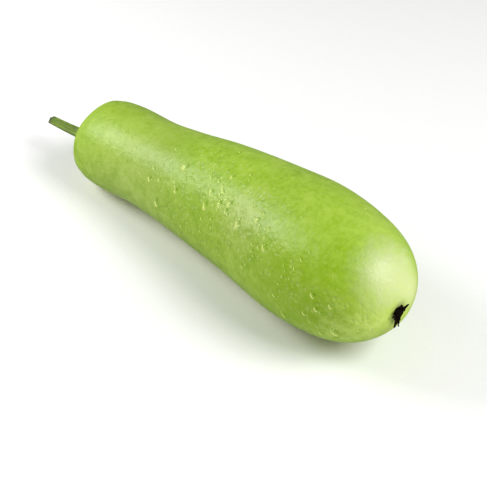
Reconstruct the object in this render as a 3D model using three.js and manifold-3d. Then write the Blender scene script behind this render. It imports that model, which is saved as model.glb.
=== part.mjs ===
// A bottle gourd (Lagenaria siceraria) of the long market kind, picked and lying on its side.
//
// Three pieces grew on it, and each is one solid:
//   fruit            the fleshy body: blunt head at the stem end, faint waist, belly near the blossom end
//   peduncle         the cut fruit stalk, five-ribbed, rooted in a socket in the head
//   withered_flower  the dried flower that still hangs on the blossom end, rooted in a small socket
//
// Millimetres, +Z up. +X runs from the stalk to the blossom end. The origin is the middle of the
// footprint, on the surface that the gourd rests on.
import * as THREE from "three";
import { mergeVertices } from "three/addons/utils/BufferGeometryUtils.js";
import Module from "manifold-3d";

const wasm = await Module();
wasm.setup();

// ---- driving dimensions -------------------------------------------------------------------

const FRUIT_LENGTH = 307;

// Radius of the fruit, [distance from the stem pole, radius]: head, waist, belly, blossom end.
const GIRTH = [
  [4, 23.9],
  [12, 30.7],
  [26, 32.9],
  [55, 32.5],
  [85, 34.3],
  [120, 38.6],
  [170, 43.4],
  [216, 47.5],
  [250, 45.5],
  [275, 39.7],
  [292, 29.6],
  [303, 15.2],
];

const FRUIT_RINGS = 62;
const FRUIT_SIDES = 60;
const RING_CROWDING = 0.72; // 0 spaces the rings evenly over the two domes, 1 packs them at the poles

const BOW = 6.6; // how far the middle of the fruit bends sideways, towards +Y
const SHOULDER_LOBES = 5; // the stalk's ribs run out over the shoulder as faint lobes
const LOBE_HEIGHT = 0.012; // as a share of the radius
const LOBE_FADE = 38; // length over which the lobes die away
const OVAL = 0.007; // the fruit is a little wider one way than the other, as a share of the radius
const OVAL_TURN = 0.6;

const HEAD_REST = 30; // the two places along the fruit where its underside meets the surface
const BELLY_REST = 222;
const PRESSED = 0.8; // depth to which the skin is pressed flat there

// The two ends are not quite true: the stalk and the flower sit off the fruit's centre line, by
// this much in Y and Z.
const STALK_SEAT = new THREE.Vector2(-3, -1.6);
const FLOWER_SEAT = new THREE.Vector2(-3, -2);
const COLLAR_HEIGHT = 1.6; // flesh that rises round the root of the stalk
const COLLAR_RADIUS = 8.5;
const NAVEL_DEPTH = 1.2; // shallow dip round the flower
const NAVEL_RADIUS = 6.5;

const STALK_LENGTH = 45.5;
const STALK_ROOT_RADIUS = 3.65;
const STALK_CUT_RADIUS = 2.85;
const STALK_FLARE = 2; // extra radius where it meets the fruit
const STALK_FLARE_FADE = 3.4;
const STALK_RIBS = 5;
const RIB_HEIGHT = 0.11; // as a share of the stalk's radius
const RIB_TWIST = 0.9; // turn of the ribs from root to cut, in radians
const STALK_LEAN = new THREE.Vector2(-1.9, -1); // sideways set of the first part, in Y and Z
const STALK_LEAN_FADE = 8;
const STALK_DRIFT = 0.1; // slope of the rest of it, towards -Y
const STALK_SWEEP = 1.1; // how far the cut end sweeps back up
const STALK_ROOT = 3; // length of the root inside the fruit
const CUT_SLANT = 0.12; // slope of the knife cut
const CUT_REACH = 10; // length of stalk over which the rings lean over to it
const STALK_RINGS = 18;
const STALK_SIDES = 30;

// The dried base of the flower, a low lump, longer up and down than across.
const NUB_RADIUS = 3;
const NUB_STRETCH = 1.35;
const NUB_HEIGHT = 2.4;
const NUB_ROOT = 2.4;
const NUB_ROOT_RADIUS = 2.6;

// The dried petals: where each tip lies from the flower's seat in Y and Z, the petal's width, how
// far the tip stands off the skin, and how far the blade twists, in radians.
const PETALS = [
  [4.4, 5.4, 2.4, 2.2, 0.9],
  [0.4, 6.2, 4.2, 0.4, -0.4],
  [-3.8, 4.0, 4.6, 0.3, 0.4],
  [-6.2, 0.2, 4.6, 0.3, -0.5],
  [-5.2, -3.0, 4.2, 0.5, 0.5],
  [-3.0, -8.4, 3.4, 1.8, 0.7],
  [-0.6, -9.0, 2.4, 2.2, -0.9],
  [2.2, -1.2, 3.2, 0.2, 0.4],
];
const PETAL_THICKNESS = 0.85;
const PETAL_CRUMPLE = 0.35; // height of the wrinkles

const SOCKET_GAP = 0.35; // room round a root in its socket
const SOCKET_CUTTER = 7; // how far the stalk socket's cutter stands out of the fruit

// ---- small tools --------------------------------------------------------------------------

// A closed geometry as a solid.
function solidOf(geometry) {
  const bare = geometry.clone();
  bare.deleteAttribute("normal");
  bare.deleteAttribute("uv");
  const merged = mergeVertices(bare, 1e-3);
  return new wasm.Manifold(
    new wasm.Mesh({
      numProp: 3,
      vertProperties: new Float32Array(merged.attributes.position.array),
      triVerts: new Uint32Array(merged.index.array),
    }),
  );
}

function geometryOf(solid) {
  const { numProp, numVert, vertProperties, triVerts } = solid.getMesh();
  const position = new Float32Array(numVert * 3);
  for (let i = 0; i < numVert; i++) {
    position.set(vertProperties.subarray(i * numProp, i * numProp + 3), i * 3);
  }
  const geometry = new THREE.BufferGeometry();
  geometry.setAttribute("position", new THREE.BufferAttribute(position, 3));
  geometry.setIndex(new THREE.BufferAttribute(triVerts, 1));
  geometry.computeVertexNormals();
  return geometry;
}

// Turns an outline of [distance along, radius] round its axis, then puts each point where
// place(along, radius, angle) says.
function turned(outline, sides, place) {
  const points = outline.map(([along, radius]) => new THREE.Vector2(radius, along));
  const geometry = new THREE.LatheGeometry(points, sides);
  const position = geometry.attributes.position;
  for (let i = 0; i < position.count; i++) {
    const angle = Math.atan2(position.getX(i), position.getZ(i));
    const radius = Math.hypot(position.getX(i), position.getZ(i));
    const spot = place(position.getY(i), radius, angle);
    position.setXYZ(i, spot.x, spot.y, spot.z);
  }
  return geometry;
}

// A smooth curve through stations [at, value], held level past both ends.
function through(stations, at) {
  const last = stations.length - 1;
  if (at <= stations[0][0]) return stations[0][1];
  if (at >= stations[last][0]) return stations[last][1];
  const i = stations.findIndex(([x]) => x > at) - 1;
  const slope = (k) =>
    k <= 0 || k >= last
      ? 0
      : (stations[k + 1][1] - stations[k - 1][1]) / (stations[k + 1][0] - stations[k - 1][0]);
  const [x0, y0] = stations[i];
  const [x1, y1] = stations[i + 1];
  const width = x1 - x0;
  const t = (at - x0) / width;
  const rise = t * t * (3 - 2 * t);
  return (
    y0 * (1 - rise) +
    y1 * rise +
    width * (slope(i) * t * (1 - t) ** 2 - slope(i + 1) * t * t * (1 - t))
  );
}

// ---- the fruit ----------------------------------------------------------------------------

// A place along the fruit as an angle over it: 0 at the stem pole, pi at the blossom pole.
const angleAt = (x) => Math.acos(THREE.MathUtils.clamp(1 - (2 * x) / FRUIT_LENGTH, -1, 1));

// The stations as shares of a half-circle's rise, so that both ends close as round domes.
const GIRTH_SHARES = GIRTH.map(([x, radius]) => [angleAt(x), radius / Math.sin(angleAt(x))]);

const girthOver = (angle) => Math.sin(angle) * through(GIRTH_SHARES, angle);

// Radius of the fruit in one direction, with its lobes and its slight ovalness.
function radiusTowards(x, radius, turn) {
  const lobes = LOBE_HEIGHT * Math.cos(SHOULDER_LOBES * turn) * Math.exp(-x / LOBE_FADE);
  const oval = OVAL * Math.cos(2 * (turn - OVAL_TURN));
  return radius * (1 + lobes + oval);
}

const DOWN = -Math.PI / 2;
const depthAt = (x) => radiusTowards(x, girthOver(angleAt(x)), DOWN) - PRESSED;

// The centre line climbs towards the belly, so that head and belly both touch down.
const CLIMB = (depthAt(BELLY_REST) - depthAt(HEAD_REST)) / (BELLY_REST - HEAD_REST);

function centreAt(x) {
  return new THREE.Vector3(
    x,
    BOW * Math.sin((Math.PI * x) / FRUIT_LENGTH) ** 2,
    depthAt(HEAD_REST) + CLIMB * (x - HEAD_REST),
  );
}

// How far the skin moves along X round the two seats: the collar outwards, the dip inwards.
// y and z are measured from the centre line.
function seatRelief(x, y, z) {
  const far = x > FRUIT_LENGTH / 2;
  const seat = far ? FLOWER_SEAT : STALK_SEAT;
  const distance = Math.hypot(y - seat.x, z - seat.y);
  if (far) return -NAVEL_DEPTH * Math.exp(-((distance / NAVEL_RADIUS) ** 2));
  return -COLLAR_HEIGHT * Math.exp(-((distance / COLLAR_RADIUS) ** 4));
}

function fruitSkin() {
  const outline = [];
  for (let i = 0; i <= FRUIT_RINGS; i++) {
    const t = i / FRUIT_RINGS;
    const angle = Math.PI * t - (RING_CROWDING / 2) * Math.sin(2 * Math.PI * t);
    const pole = i === 0 || i === FRUIT_RINGS;
    outline.push([(FRUIT_LENGTH / 2) * (1 - Math.cos(angle)), pole ? 0 : girthOver(angle)]);
  }
  return turned(outline, FRUIT_SIDES, (x, radius, turn) => {
    const reach = radiusTowards(x, radius, turn);
    const [y, z] = [reach * Math.cos(turn), reach * Math.sin(turn)];
    const centre = centreAt(x);
    return new THREE.Vector3(x + seatRelief(x, y, z), centre.y + y, Math.max(0, centre.z + z));
  });
}

// ---- the stalk ----------------------------------------------------------------------------

// Where the stalk's centre is, at a distance out from the fruit's end.
function stalkCentre(out) {
  const set = 1 - Math.exp(-Math.max(out, 0) / STALK_LEAN_FADE);
  const centre = centreAt(0);
  return new THREE.Vector3(
    -out,
    centre.y + STALK_SEAT.x + STALK_LEAN.x * set - STALK_DRIFT * out,
    centre.z + STALK_SEAT.y + STALK_LEAN.y * set - CLIMB * out + STALK_SWEEP * (out / STALK_LENGTH) ** 2,
  );
}

// With room given round it, this is the cutter of the root's socket: only the root, unribbed.
function stalk(room) {
  const cutter = room > 0;
  const start = -STALK_ROOT - room;
  const end = cutter ? SOCKET_CUTTER : STALK_LENGTH;
  const outline = [[start, 0]];
  for (let i = 0; i <= STALK_RINGS; i++) {
    const out = start + (end - start) * (i / STALK_RINGS) ** 1.5;
    const radius = THREE.MathUtils.lerp(STALK_ROOT_RADIUS, STALK_CUT_RADIUS, out / STALK_LENGTH);
    const flare = STALK_FLARE * Math.exp(-Math.max(out, 0) / STALK_FLARE_FADE);
    outline.push([out, radius + flare + room]);
  }
  outline.push([end, 0]);
  return turned(outline, STALK_SIDES, (out, radius, turn) => {
    const rib = cutter ? 1 : Math.cos(STALK_RIBS * turn + (RIB_TWIST * out) / STALK_LENGTH);
    const reach = radius * (1 + RIB_HEIGHT * rib);
    const slant = cutter ? 0 : CUT_SLANT * THREE.MathUtils.smoothstep(out, end - CUT_REACH, end);
    const spot = stalkCentre(out);
    spot.x += slant * reach * Math.sin(turn);
    spot.y -= reach * Math.cos(turn);
    spot.z += reach * Math.sin(turn);
    return spot;
  });
}

// ---- the withered flower ------------------------------------------------------------------

// A point on the skin at the blossom end, given in Y and Z from the flower's seat.
function onBlossomEnd(y, z) {
  const centre = centreAt(FRUIT_LENGTH);
  const [offY, offZ] = [FLOWER_SEAT.x + y, FLOWER_SEAT.y + z];
  const share = GIRTH_SHARES[GIRTH_SHARES.length - 1][1];
  const drop = (FRUIT_LENGTH / 2) * (1 - Math.sqrt(1 - (offY ** 2 + offZ ** 2) / share ** 2));
  return new THREE.Vector3(FRUIT_LENGTH - drop, centre.y + offY, centre.z + offZ);
}

// With room given round it, this is the cutter of the nub's socket: only the root.
function nub(room) {
  const cutter = room > 0;
  const outline = [
    [-NUB_ROOT - room, 0],
    [-NUB_ROOT - room, NUB_ROOT_RADIUS + room],
    [0, NUB_ROOT_RADIUS + room],
  ];
  if (!cutter) outline.push([NUB_HEIGHT * 0.3, NUB_RADIUS], [NUB_HEIGHT * 0.75, NUB_RADIUS * 0.8]);
  outline.push([NUB_HEIGHT, cutter ? NUB_ROOT_RADIUS + room : NUB_RADIUS * 0.4], [NUB_HEIGHT, 0]);
  const seat = onBlossomEnd(0, 0);
  return turned(outline, 16, (along, radius, turn) => {
    const stretch = !cutter && along > 0 ? NUB_STRETCH : 1;
    const [y, z] = [radius * Math.cos(turn), radius * Math.sin(turn) * stretch];
    return new THREE.Vector3(seat.x + along, seat.y + y, seat.z + z);
  });
}

// A narrow crumpled blade that runs out over the skin from the nub.
function petal([tipY, tipZ, width, standOff, twist]) {
  const geometry = new THREE.BoxGeometry(1, 1, PETAL_THICKNESS, 9, 4, 1);
  const position = geometry.attributes.position;
  const length = Math.hypot(tipY, tipZ);
  for (let i = 0; i < position.count; i++) {
    const share = position.getX(i) + 0.5;
    const across = position.getY(i) * width * (1 - 0.7 * share ** 3);
    const crumple = PETAL_CRUMPLE * Math.cos(2.4 * across + 4 * twist) * Math.sin(3 * share);
    const thick = position.getZ(i) + crumple;
    const lean = twist * share;
    const side = across * Math.cos(lean) - thick * Math.sin(lean);
    const lift = across * Math.sin(lean) + thick * Math.cos(lean);
    const y = tipY * share - (side * tipZ) / length;
    const z = tipZ * share + (side * tipY) / length;
    const clear = PETAL_THICKNESS / 2 + PETAL_CRUMPLE + 0.5 * width * Math.abs(Math.sin(lean));
    const rise = THREE.MathUtils.lerp(NUB_HEIGHT * 0.6, clear, Math.min(1, 2 * share));
    const spot = onBlossomEnd(y, z);
    position.setXYZ(i, spot.x + rise + standOff * share ** 2 + lift, spot.y, spot.z);
  }
  return geometry;
}

// The nub and its petals as one body, with any hollow that they seal between them filled.
function witheredFlower() {
  const blades = PETALS.map((shape) => solidOf(petal(shape)));
  const flower = blades.reduce((body, blade) => body.add(blade), solidOf(nub(0)));
  return flower.decompose().reduce((most, piece) => (piece.volume() > most.volume() ? piece : most));
}

// ---- the whole gourd ----------------------------------------------------------------------

const fruit = solidOf(fruitSkin())
  .subtract(solidOf(stalk(SOCKET_GAP)))
  .subtract(solidOf(nub(SOCKET_GAP)));

const SKIN = new THREE.MeshStandardMaterial({ color: 0xa3c445, roughness: 0.42, metalness: 0 });
const STALK = new THREE.MeshStandardMaterial({ color: 0x74903f, roughness: 0.7, metalness: 0 });
const DRIED = new THREE.MeshStandardMaterial({ color: 0x1d1512, roughness: 0.85, metalness: 0 });

const gourd = new THREE.Group();
const pieces = [
  ["fruit", geometryOf(fruit), SKIN],
  ["peduncle", geometryOf(solidOf(stalk(0))), STALK],
  ["withered_flower", geometryOf(witheredFlower()), DRIED],
];
for (const [name, geometry, material] of pieces) {
  const mesh = new THREE.Mesh(geometry, material);
  mesh.name = name;
  gourd.add(mesh);
}

// The origin goes to the middle of the footprint. The underside already lies at Z = 0.
const middle = new THREE.Box3().setFromObject(gourd).getCenter(new THREE.Vector3());
gourd.position.set(-middle.x, -middle.y, 0);

export default gourd;
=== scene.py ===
"""A long bottle gourd lying on its side: its rind, its cut stalk, the withered flower that still
hangs on the blossom end, and the beads of water left on it from rinsing.

Shapes are worked out in millimetres along the fruit, X = 0 at the stem pole, and moved into the
frame in metres at the very end of each one.
"""

import math

import bmesh
import bpy
from mathutils import Matrix, Quaternion, Vector, noise


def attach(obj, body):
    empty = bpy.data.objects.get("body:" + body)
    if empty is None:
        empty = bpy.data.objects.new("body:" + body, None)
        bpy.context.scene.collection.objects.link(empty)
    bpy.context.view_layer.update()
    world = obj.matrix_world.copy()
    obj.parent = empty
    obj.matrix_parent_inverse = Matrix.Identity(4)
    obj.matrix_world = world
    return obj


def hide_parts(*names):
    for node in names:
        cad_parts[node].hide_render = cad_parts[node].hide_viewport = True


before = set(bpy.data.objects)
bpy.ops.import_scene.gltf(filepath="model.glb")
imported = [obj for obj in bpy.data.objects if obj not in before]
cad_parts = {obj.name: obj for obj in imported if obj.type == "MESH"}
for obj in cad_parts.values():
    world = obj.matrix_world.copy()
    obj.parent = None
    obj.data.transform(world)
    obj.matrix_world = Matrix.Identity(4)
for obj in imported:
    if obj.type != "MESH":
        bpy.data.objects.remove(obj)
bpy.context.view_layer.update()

scene = bpy.context.scene

# ---- sizes of this gourd, in millimetres ----

FRUIT_LENGTH = 307.0
# Radius of the fruit, (distance from the stem pole, radius): head, waist, belly, blossom end.
GIRTH = (
    (4, 23.9), (12, 30.7), (26, 32.9), (55, 32.5), (85, 34.3), (120, 38.6),
    (170, 43.4), (216, 47.5), (250, 45.5), (275, 39.7), (292, 29.6), (303, 15.2),
)
BOW = 6.6
SHOULDER_LOBES = 5
LOBE_HEIGHT = 0.012
LOBE_FADE = 38.0
OVAL = 0.007
OVAL_TURN = 0.6
HEAD_REST = 30.0
BELLY_REST = 222.0
PRESSED = 0.8
STALK_SEAT = (-3.0, -1.6)
FLOWER_SEAT = (-3.0, -2.0)
COLLAR_HEIGHT = 1.6
COLLAR_RADIUS = 8.5
NAVEL_DEPTH = 1.2
NAVEL_RADIUS = 6.5

STALK_LENGTH = 45.5
STALK_ROOT_RADIUS = 4.0
STALK_CUT_RADIUS = 3.15
STALK_FLARE = 2.0
STALK_FLARE_FADE = 3.4
STALK_RIBS = 5
RIB_HEIGHT = 0.11
RIB_TWIST = 0.9
STALK_LEAN = (-1.9, -1.7)
STALK_LEAN_FADE = 8.0
STALK_DRIFT = 0.1
STALK_SWEEP = 1.1
STALK_ROOT = 3.0
CUT_SLANT = 0.12
CUT_REACH = 10.0

# The dried nub: its outline, (distance out from the skin, radius), where it closes, its middle from
# the flower's seat in Y and Z, and how much it is squeezed in Y and stretched in Z.
NUB_OUTLINE = ((-1.6, 2.6), (-0.4, 3.0), (0.5, 3.1), (1.3, 2.8), (1.9, 2.3), (2.3, 1.6), (2.45, 0.8))
NUB_FOOT = -1.8
NUB_TOP = 2.2
NUB_SIDES = 40
NUB_SHIFT = (-0.9, 0.3)
NUB_SQUEEZE = 0.85
NUB_STRETCH = 1.35
# How high the petals leave it, and its pleats and wrinkles, as shares of its radius.
PETALS_LEAVE = 1.44
NUB_PLEATS = 10
NUB_PLEAT = 0.09
NUB_WRINKLE = 0.12
# The dried petals: where each tip lies from the flower's seat in Y and Z, the petal's width, how
# far the tip stands off the skin, and how far the blade twists.
PETALS = (
    (5.2, 6.4, 4.8, 2.0, 0.25),
    (0.6, 7.2, 4.4, 0.4, -0.3),
    (-3.8, 4.2, 4.6, 0.3, 0.4),
    (-6.2, 0.4, 4.6, 0.3, -0.5),
    (-4.6, -2.6, 3.8, 0.5, 0.5),
    (-3.9, -9.4, 3.2, 1.8, 0.5),
    (-1.0, -9.2, 2.4, 2.2, -0.7),
    (1.4, -0.4, 2.6, 0.2, 0.4),
)
# How the petals shrank, as shares of their size, and then in millimetres.
PETAL_RAGGED = 0.16
TIP_RAGGED = 0.05
PETAL_TAPER = 0.72
PETAL_FURL = 0.342
PETAL_CRUMPLE = 0.5
PETAL_CLEARANCE = 0.8
PETAL_THICKNESS = 0.45

# The rings: how much they crowd over the fruit's domes, and the shares of the stalk's at which its
# root ends and its cut starts, and of the cut's at which its rim ends.
RING_CROWDING = 0.36
ROOT_ENDS = 0.06
CUT_STARTS = 0.84
RIM_ENDS = 0.3
# The fruit's girth curve: the radius at its top, and its stops.
PROFILE_TOP = 120.0
PROFILE_STOPS = 64

# Which way the main light comes from.
MAIN_LIGHT = (0.68, 0.22, 0.70)

# Where the rinsing left the skin wettest: the middle of each place, in the frame's millimetres, and
# how far it reaches. It is wettest over an inner share of that.
FULLY_WET = 0.4
WET_PLACES = (
    (16, -33, 59, 60),
    (68, -35, 73, 42),
    (112, -42, 54, 28),
    (148, -36, 40, 38),
)
# Broad lighter and darker patches over the skin, painted shade and painted highlights among them: the middle
# of each in the frame's millimetres, how far
# # it reaches, how strong it is in the middle, how much it keeps to the deep patches of the mottling
# # (below 0: to the pale ones), and its colour.
PAINTED_LIGHT_AND_TONE_PATCHES = (
    # Painted shade on the far shoulder and the top of the head.
    (-95, 6, 66, 52, 0.45, 0.0, "#779614"),
    (-46, -15, 67, 45, 0.66, 0.0, "#7C9E0E"),
    # Painted light on the near side of the head.
    (-62, -33, 44, 75, 0.36, -0.3, "#BBCD76"),
    # A painted highlight on the top of the body.
    (57, -34, 72, 32, 0.32, -0.5, "#CCD886"),
    (98, -4, 93, 46, 0.25, 0.0, "#AFCB50"),
    # Painted shade on the near belly.
    (124, -44, 51, 62, 0.68, 0.6, "#92B900"),
    (168, -22, 40, 26, 0.5, -0.8, "#CCDF76"),
    (150, -36, 38, 32, 0.5, -1.0, "#BAD65A"),
    (138, 10, 89, 30, 0.4, 0.0, "#B6D05E"),
    (173, 8, 60, 18, 0.5, 0.0, "#DCE3AE"),
)
# The middle of the pale patch on the blossom end, a chalky bloom and a painted highlight, in the frame's
# millimetres.
CHALK_AND_HIGHLIGHT_MIDDLE = (165.5, -4.5, 75.5)
# The larger drops: a spot on the skin in the frame's millimetres, the drop's radius, how many
# times longer than wide it has run, and how far it turned from straight downhill.
DROPS = (
    (20.3, -32.6, 63.6, 2.3, 1.8, 0.2),
    (32.4, -30.4, 69.6, 2.1, 1.7, 0.5),
    (40.9, -28.7, 73.4, 2.8, 1.1, 0.0),
    (55.8, -35.4, 69.6, 2.0, 2.3, 0.1),
    (-11.3, -31.7, 58.1, 2.1, 1.3, 0.6),
    (-14.1, -20.0, 70.1, 2.4, 1.6, -0.4),
    (-40.0, -30.9, 52.4, 2.0, 1.4, 0.4),
    (-28.2, -35.4, 40.6, 1.8, 2.4, -0.1),
    (28.4, -24.1, 74.9, 1.5, 2.8, 1.2),
    (40.4, -32.2, 69.2, 1.6, 1.4, 0.0),
    (20.2, -26.7, 71.0, 2.2, 1.3, 0.9),
    (27.0, -14.0, 80.7, 1.8, 1.3, 0.0),
    (70.7, -31.6, 78.4, 2.2, 1.1, 0.0),
    (87.6, -40.9, 70.2, 2.6, 1.1, 0.3),
    (107.6, -43.0, 68.5, 0.8, 1.5, 1.0),
    (112.1, -40.4, 72.9, 0.7, 1.8, 1.1),
    (116.1, -37.4, 76.9, 0.6, 1.4, 1.2),
    (120.6, -33.2, 81.2, 0.7, 1.8, 1.2),
    (149.3, -37.5, 37.2, 2.8, 1.3, 0.2),
    (134.7, -43.5, 61.6, 2.1, 1.2, 0.1),
    (138.4, -44.2, 53.0, 1.6, 1.5, -0.2),
    (147.4, -40.2, 58.7, 1.8, 1.2, 0.3),
    (111.4, -45.5, 32.4, 2.2, 1.5, 0.9),
    (129.7, -46.0, 45.4, 1.5, 1.3, 0.0),
    (138.9, -39.4, 30.9, 1.7, 1.2, 0.4),
    (-90.6, -27.3, 55.1, 1.1, 1.2, 0.4),
    (-75.4, -18.4, 62.1, 0.9, 1.2, 0.0),
)
# How high a drop stands, how uneven it is, and how much fuller at its lower end, as shares of its
# radius, and how far the foot of any bead sinks, as a share of its height.
DROP_HEIGHT = 0.55
DROP_UNEVENNESS = 0.3
DROP_FULLNESS = 0.22
BEAD_FOOT = 0.25

# From the fruit's own millimetres to the frame: the middle of the footprint becomes the origin.
FOOTPRINT_MIDDLE = Vector((132.67437744, 3.95218468, 0.0))
MM = 0.001


def in_metres(place):
    """A place in the frame's millimetres, as metres."""
    return tuple(part * MM for part in place)


def in_frame(point):
    """A point in the fruit's millimetres, as metres in the frame."""
    return (Vector(point) - FOOTPRINT_MIDDLE) * MM


# ---- the fruit's rule ----

def angle_at(x):
    """A place along the fruit as an angle over it: 0 at the stem pole, pi at the blossom pole."""
    return math.acos(max(-1.0, min(1.0, 1 - 2 * x / FRUIT_LENGTH)))


GIRTH_SHARES = [(angle_at(x), radius / math.sin(angle_at(x))) for x, radius in GIRTH]


def share_over(angle):
    """The smooth curve through the stations, held level past both ends."""
    last = len(GIRTH_SHARES) - 1
    if angle <= GIRTH_SHARES[0][0]:
        return GIRTH_SHARES[0][1]
    if angle >= GIRTH_SHARES[last][0]:
        return GIRTH_SHARES[last][1]
    i = next(k for k, (at, _) in enumerate(GIRTH_SHARES) if at > angle) - 1
    (x0, y0), (x1, y1) = GIRTH_SHARES[i], GIRTH_SHARES[i + 1]

    def slope(k):
        if k <= 0 or k >= last:
            return 0.0
        before, after = GIRTH_SHARES[k - 1], GIRTH_SHARES[k + 1]
        return (after[1] - before[1]) / (after[0] - before[0])

    t = (angle - x0) / (x1 - x0)
    rise = t * t * (3 - 2 * t)
    bulge = slope(i) * t * (1 - t) ** 2 - slope(i + 1) * t * t * (1 - t)
    return y0 * (1 - rise) + y1 * rise + (x1 - x0) * bulge


def depth_at(x):
    """How far the fruit reaches below its centre line."""
    radius = math.sin(angle_at(x)) * share_over(angle_at(x))
    lobes = LOBE_HEIGHT * math.cos(-SHOULDER_LOBES * math.pi / 2) * math.exp(-x / LOBE_FADE)
    oval = OVAL * math.cos(2 * (-math.pi / 2 - OVAL_TURN))
    return radius * (1 + lobes + oval) - PRESSED


CLIMB = (depth_at(BELLY_REST) - depth_at(HEAD_REST)) / (BELLY_REST - HEAD_REST)


def centre_at(x):
    """The fruit's centre line."""
    sideways = BOW * math.sin(math.pi * x / FRUIT_LENGTH) ** 2
    return Vector((x, sideways, depth_at(HEAD_REST) + CLIMB * (x - HEAD_REST)))


def on_blossom_end(y, z):
    """A point on the skin at the blossom end, given in Y and Z from the flower's seat."""
    centre = centre_at(FRUIT_LENGTH)
    off_y, off_z = FLOWER_SEAT[0] + y, FLOWER_SEAT[1] + z
    share = GIRTH_SHARES[-1][1]
    drop = FRUIT_LENGTH / 2 * (1 - math.sqrt(1 - (off_y**2 + off_z**2) / share**2))
    return Vector((FRUIT_LENGTH - drop, centre.y + off_y, centre.z + off_z))


# ---- small tools ----

# Points nearer to each other than this, in metres, are one.
WELD = 2e-6
NODE_FAMILIES = ("ShaderNode", "GeometryNode", "FunctionNode", "")


def colour(code):
    """An sRGB hex colour such as #A3C445 as linear RGBA."""
    channels = [int(code[i:i + 2], 16) / 255 for i in (1, 3, 5)]
    return tuple(c / 12.92 if c <= 0.04045 else ((c + 0.055) / 1.055) ** 2.4 for c in channels) + (1.0,)


def grain(apart):
    """A texture's scale on Object coordinates, for features that many millimetres apart."""
    return 1 / (apart * MM)


def add(tree, kind, fills=(), **settings):
    """Adds a node, sets it up and fills its open sockets by place or by name: a node or a socket
    is linked, a colour's code is made linear, and anything else becomes the socket's own value.
    The kind leaves out its family, and may end in an operation, as in "Math SINE"."""
    kind, *operation = kind.split()
    family = next(family for family in NODE_FAMILIES if hasattr(bpy.types, family + kind))
    made = tree.nodes.new(family + kind)
    if operation:
        settings["operation"] = operation[0]
    for name, value in settings.items():
        setattr(made, name, value)
    open_sockets = [socket for socket in made.inputs if socket.enabled]
    for key, value in fills.items() if isinstance(fills, dict) else enumerate(fills):
        if isinstance(key, str):
            socket = next(socket for socket in open_sockets if socket.name == key)
        else:
            socket = open_sockets[key]
        if isinstance(value, bpy.types.Node):
            value = next(output for output in value.outputs if output.enabled)
        if isinstance(value, bpy.types.NodeSocket):
            tree.links.new(value, socket)
        elif isinstance(value, str) and value.startswith("#"):
            socket.default_value = colour(value)
        else:
            socket.default_value = value
    return made


def in_scene(name, data):
    """A new object in the scene."""
    thing = bpy.data.objects.new(name, data)
    scene.collection.objects.link(thing)
    return thing


def smooth_piece(name, mesh, materials):
    """A plain object of a mesh, smooth all over, with these materials and no empty slots."""
    mesh.name = name
    mesh.materials.clear()
    for material in materials:
        mesh.materials.append(material)
    for face in mesh.polygons:
        face.material_index = 0
        face.use_smooth = True
    return in_scene(name, mesh)


def finished_piece(name, shape, material):
    """A plain object of a bmesh, which is turned to face outward and freed."""
    bmesh.ops.recalc_face_normals(shape, faces=shape.faces)
    mesh = bpy.data.meshes.new(name)
    shape.to_mesh(mesh)
    shape.free()
    return smooth_piece(name, mesh, [material])


def shown_as_mesh(piece):
    """What a piece looks like with its modifiers applied, as a new mesh. The piece is removed."""
    graph = bpy.context.evaluated_depsgraph_get()
    mesh = bpy.data.meshes.new_from_object(piece.evaluated_get(graph), depsgraph=graph)
    piece.modifiers.clear()
    bpy.data.objects.remove(piece)
    return mesh


def sized_tree(name, sizes):
    """A Geometry Nodes tree, and the sockets of its inputs, one for each label in sizes. The value
    there tells its kind."""
    tree = bpy.data.node_groups.new(name, "GeometryNodeTree")
    kinds = {float: "NodeSocketFloat", int: "NodeSocketInt", bpy.types.Material: "NodeSocketMaterial"}
    for in_out in ("INPUT", "OUTPUT"):
        tree.interface.new_socket("Geometry", in_out=in_out, socket_type="NodeSocketGeometry")
    for label, value in sizes.items():
        tree.interface.new_socket(label, in_out="INPUT", socket_type=kinds[type(value)])
    return tree, add(tree, "NodeGroupInput").outputs


def clothed(tree, geometry, material):
    """Ends a tree: its instances are made real, and its material is set."""
    whole = add(tree, "RealizeInstances", {"Geometry": geometry})
    finished = add(tree, "SetMaterial", {"Geometry": whole, "Material": material})
    add(tree, "NodeGroupOutput", {"Geometry": finished})


def grown(name, tree, sizes, on=None):
    """Runs a tree, on a copy of a mesh or on nothing, and gives its result as a plain object."""
    seed = on.copy() if on else bpy.data.meshes.new(name + ".seed")
    host = in_scene(name + ".host", seed)
    modifier = host.modifiers.new(tree.name, "NODES")
    modifier.node_group = tree
    for item in tree.interface.items_tree:
        if item.in_out == "INPUT" and item.name in sizes:
            modifier[item.identifier] = sizes[item.name]
    mesh = shown_as_mesh(host)
    return smooth_piece(name, mesh, [material for material in mesh.materials if material])


# ---- materials ----

def blank_material(name):
    """A new material with nothing in it yet, and its node tree."""
    material = bpy.data.materials.new(name)
    material.use_nodes = True
    material.node_tree.nodes.clear()
    return material, material.node_tree


def laid_over(tree, under, over, source, low, high, strongest=1.0, soft=False):
    """One colour laid over another: not at all where the source is at low, and by its strongest
    share where it is at high. Soft eases both ends."""
    ramp = "SMOOTHSTEP" if soft else "LINEAR"
    share = add(tree, "MapRange", {0: source, 1: low, 2: high, 4: strongest}, interpolation_type=ramp)
    return add(tree, "Mix", [share, under, over], data_type="RGBA")


def scattered(tree, place, apart_by, edge, middle, strongest, draw, missing, full, soft=False):
    """How strongly round spots show, about apart_by millimetres apart. Edge and middle are how far
    out a spot starts and is full, as shares of that. Each spot's own draw, which is a channel of
    its random colour, leaves it out below missing and makes it whole above full."""
    cells = add(tree, "TexVoronoi", {"Vector": place, "Scale": grain(apart_by)})
    spot = add(
        tree, "MapRange", {0: cells.outputs["Distance"], 1: edge, 2: middle, 4: strongest},
        interpolation_type="SMOOTHSTEP" if soft else "LINEAR",
    )
    draws = add(tree, "SeparateColor", [cells.outputs["Color"]])
    kept = add(tree, "MapRange", [draws.outputs[draw], missing, full])
    return add(tree, "Math MULTIPLY", [spot, kept])


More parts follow.
